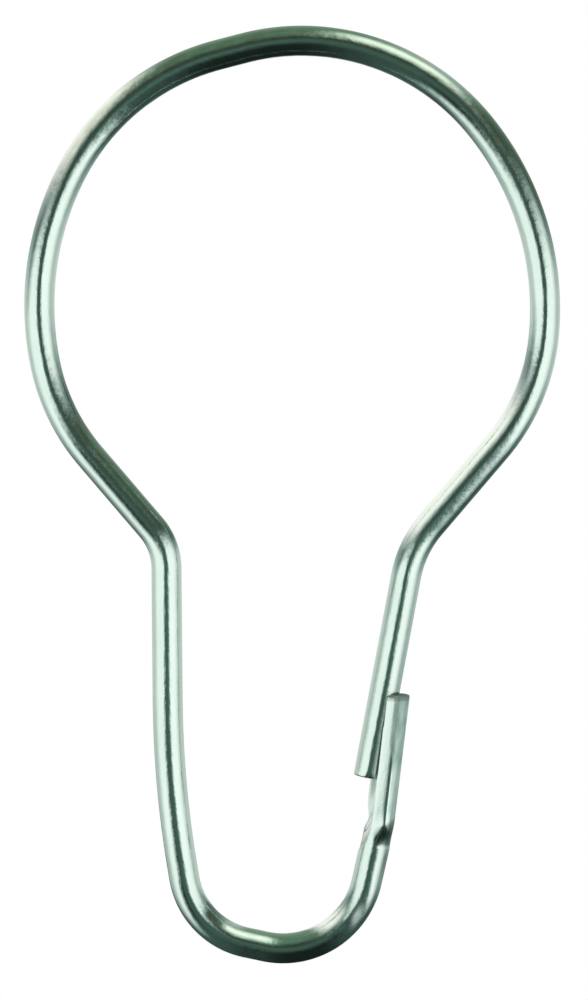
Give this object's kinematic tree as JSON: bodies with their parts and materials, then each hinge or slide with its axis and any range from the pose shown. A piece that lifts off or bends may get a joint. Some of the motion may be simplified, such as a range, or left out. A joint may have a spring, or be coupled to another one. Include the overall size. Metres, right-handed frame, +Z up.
{
  "type": "shower curtain ring",
  "caption": "Pear-shaped curtain ring bent from one round wire: a wide rod eye, a narrow neck and a hook whose pressed channel end clips round the free leg.",
  "frame": {"origin": "middle of the rod eye, in the wire's own plane, where the curtain rod's axis passes when the ring is closed", "axes": "+Z up through the crown with the ring hanging, +Y along the rod and away from the front, +X to the right as the front is seen, towards the catch"},
  "size_m": [0.0418, 0.0035, 0.0731],
  "materials": {
    "plated_wire": "bright plated drawn steel wire, slightly duller on the pressed catch"
  },
  "bodies": {
    "root": {"wire_ring": "plated_wire"}
  },
  "joints": []
}
